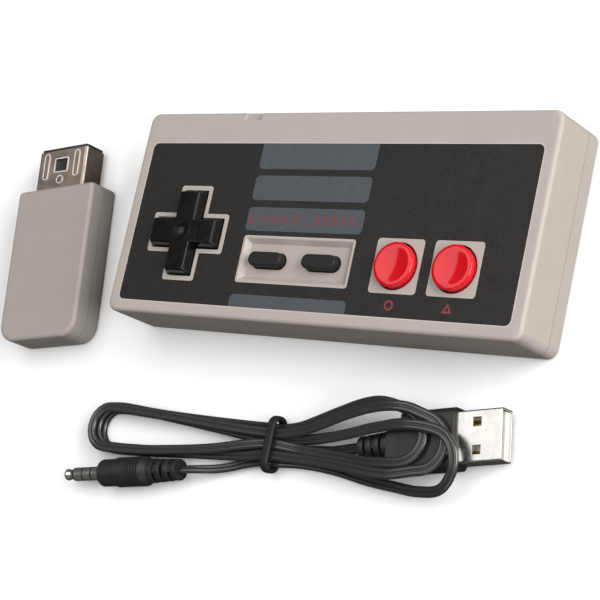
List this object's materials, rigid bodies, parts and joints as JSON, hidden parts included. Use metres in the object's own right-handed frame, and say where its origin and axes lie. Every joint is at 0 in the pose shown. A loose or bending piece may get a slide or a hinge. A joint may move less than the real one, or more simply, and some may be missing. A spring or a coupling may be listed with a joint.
{
  "type": "wireless game controller with receiver and charging cable",
  "caption": "Flat rectangular wireless game controller with cross pad, round buttons and pill keys, a plug-in receiver and a tied charging cable with jack and USB plug.",
  "frame": {"origin": "centre of the controller's back face, on the surface that the set lies on", "axes": "+X to the controller's right, +Y to its top edge with the charge socket, +Z out of its face"},
  "size_m": [0.1735, 0.0963, 0.0194],
  "materials": {
    "shell_grey": "fine matte grain",
    "shell_back": "fine matte grain",
    "plate_dark": "fine speckled matte print",
    "gloss_black": "polished",
    "button_red": "satin gloss",
    "silicone": "matte",
    "carbon": "matte",
    "board_green": "solder mask",
    "gold": "plated",
    "chip_black": "moulded",
    "tin": "satin",
    "cell": "foil pouch",
    "ivory": "natural",
    "jacket_metal": "satin, warm",
    "nickel": "nickel plated",
    "black_plastic": "satin",
    "cord_black": "satin PVC"
  },
  "bodies": {
    "controller": {"front_shell": "shell_grey", "back_shell": "shell_back", "face_plate": "plate_dark", "case_screws": "tin", "dpad_post": "ivory", "dpad_membrane": "silicone", "ab_membrane": "silicone", "key_membrane": "silicone", "main_board": "board_green", "board_pads": "gold", "main_chip": "chip_black", "radio_can": "tin", "battery": "cell", "charge_socket": "black_plastic"},
    "dpad_rocker": {"dpad_rocker": "ivory"},
    "dpad": {"dpad_cap": "gloss_black", "dpad_pills": "carbon"},
    "button_b": {"button_b": "button_red", "button_b_pill": "carbon"},
    "button_a": {"button_a": "button_red", "button_a_pill": "carbon"},
    "select": {"select_key": "black_plastic", "select_pill": "carbon"},
    "start": {"start_key": "black_plastic", "start_pill": "carbon"},
    "receiver": {"dongle_top_shell": "shell_grey", "dongle_bottom_shell": "shell_back", "dongle_board": "board_green", "dongle_chip": "chip_black", "dongle_crystal": "tin", "connector_shell": "jacket_metal", "connector_core": "black_plastic", "connector_contacts": "gold"},
    "charging_cable": {"jack_tip": "nickel", "jack_ring_1": "nickel", "jack_ring_2": "nickel", "jack_sleeve": "nickel", "jack_insulator": "black_plastic", "jack_grip": "cord_black", "jack_boot": "cord_black", "jack_lead": "cord_black", "usb_lead": "cord_black", "usb_boot": "cord_black", "usb_grip": "cord_black", "usb_shell": "nickel", "usb_tongue": "ivory", "usb_contacts": "gold", "cord_hank": "cord_black", "cable_tie": "cord_black"}
  },
  "joints": [
    {"name": "dpad_up_down", "type": "hinge", "parent": "controller", "child": "dpad_rocker", "pos_m": [-0.04, -0.00535, 0.014], "axis": [1, 0, 0], "range_deg": [-5, 5], "stiffness_Nm_per_rad": 0.05, "deforming": ["dpad_membrane"]},
    {"name": "dpad_left_right", "type": "hinge", "parent": "dpad_rocker", "child": "dpad", "pos_m": [-0.04, -0.00535, 0.014], "axis": [0, 1, 0], "range_deg": [-5, 5], "stiffness_Nm_per_rad": 0.05, "deforming": ["dpad_membrane"]},
    {"name": "button_b_press", "type": "slide", "parent": "controller", "child": "button_b", "axis": [0, 0, -1], "range_m": [0, 0.0015], "stiffness_N_per_m": 150, "springref_m": -0.002, "deforming": ["ab_membrane"]},
    {"name": "button_a_press", "type": "slide", "parent": "controller", "child": "button_a", "axis": [0, 0, -1], "range_m": [0, 0.0015], "stiffness_N_per_m": 150, "springref_m": -0.002, "deforming": ["ab_membrane"]},
    {"name": "select_press", "type": "slide", "parent": "controller", "child": "select", "axis": [0, 0, -1], "range_m": [0, 0.0012], "stiffness_N_per_m": 150, "springref_m": -0.002, "deforming": ["key_membrane"]},
    {"name": "start_press", "type": "slide", "parent": "controller", "child": "start", "axis": [0, 0, -1], "range_m": [0, 0.0012], "stiffness_N_per_m": 150, "springref_m": -0.002, "deforming": ["key_membrane"]},
    {"name": "receiver_lift", "type": "slide", "parent": "controller", "child": "receiver", "axis": [0, 0, 1], "range_m": [0, 0.04]},
    {"name": "cable_lift", "type": "slide", "parent": "controller", "child": "charging_cable", "axis": [0, 0, 1], "range_m": [0, 0.04]}
  ]
}
